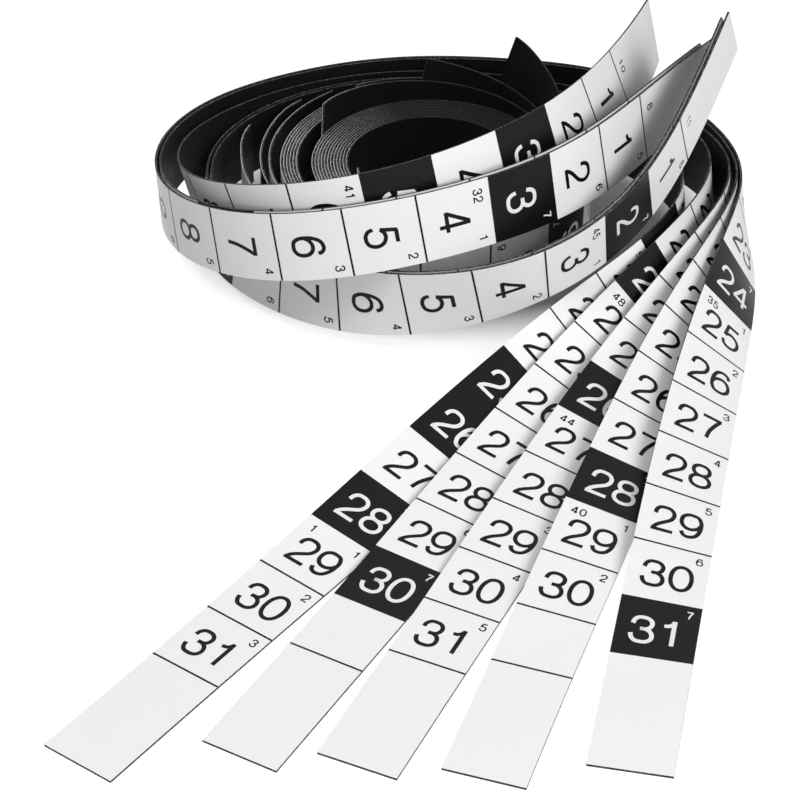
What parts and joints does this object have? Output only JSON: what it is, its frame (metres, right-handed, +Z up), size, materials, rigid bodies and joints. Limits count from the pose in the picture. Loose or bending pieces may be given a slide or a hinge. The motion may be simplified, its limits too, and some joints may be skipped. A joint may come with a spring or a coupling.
{
  "type": "magnetic year planner strip set",
  "caption": "Flexible magnetic calendar strips with printed faces: some fan out flat and turn up on edge round a coil, the rest stand in a tight roll.",
  "frame": {"origin": "on the table, under the middle of the set's bounding box", "axes": "+Z up from the table, -Y towards the flat tails at the front, +X to the right"},
  "size_m": [0.2312, 0.3702, 0.0886],
  "materials": {
    "magnet": "matt black magnetic rubber",
    "film": "semi-gloss white printed film"
  },
  "bodies": {
    "december_strip": {"december_magnet": "magnet", "december_film": "film"},
    "november_strip": {"november_magnet": "magnet", "november_film": "film"},
    "october_strip": {"october_magnet": "magnet", "october_film": "film"},
    "september_strip": {"september_magnet": "magnet", "september_film": "film"},
    "august_strip": {"august_magnet": "magnet", "august_film": "film"},
    "january_strip": {"january_magnet": "magnet", "january_film": "film"},
    "february_strip": {"february_magnet": "magnet", "february_film": "film"},
    "march_strip": {"march_magnet": "magnet", "march_film": "film"},
    "april_strip": {"april_magnet": "magnet", "april_film": "film"},
    "may_strip": {"may_magnet": "magnet", "may_film": "film"},
    "june_strip": {"june_magnet": "magnet", "june_film": "film"},
    "july_strip": {"july_magnet": "magnet", "july_film": "film"}
  },
  "joints": [
    {"name": "november_lift", "type": "slide", "parent": "december_strip", "child": "november_strip", "axis": [0, 0, 1], "range_m": [0, 0.003]},
    {"name": "october_lift", "type": "slide", "parent": "november_strip", "child": "october_strip", "axis": [0, 0, 1], "range_m": [0, 0.01]},
    {"name": "september_lift", "type": "slide", "parent": "october_strip", "child": "september_strip", "axis": [0, 0, 1], "range_m": [0, 0.005]},
    {"name": "august_lift", "type": "slide", "parent": "september_strip", "child": "august_strip", "axis": [0, 0, 1], "range_m": [0, 0.005]},
    {"name": "january_lift", "type": "slide", "parent": "december_strip", "child": "january_strip", "axis": [0, 0, 1], "range_m": [0, 0.06]},
    {"name": "february_lift", "type": "slide", "parent": "december_strip", "child": "february_strip", "axis": [0, 0, 1], "range_m": [0, 0.06]},
    {"name": "march_lift", "type": "slide", "parent": "december_strip", "child": "march_strip", "axis": [0, 0, 1], "range_m": [0, 0.06]},
    {"name": "april_lift", "type": "slide", "parent": "december_strip", "child": "april_strip", "axis": [0, 0, 1], "range_m": [0, 0.06]},
    {"name": "may_lift", "type": "slide", "parent": "december_strip", "child": "may_strip", "axis": [0, 0, 1], "range_m": [0, 0.03]},
    {"name": "june_lift", "type": "slide", "parent": "december_strip", "child": "june_strip", "axis": [0, 0, 1], "range_m": [0, 0.03]},
    {"name": "july_lift", "type": "slide", "parent": "december_strip", "child": "july_strip", "axis": [0, 0, 1], "range_m": [0, 0.03]}
  ]
}
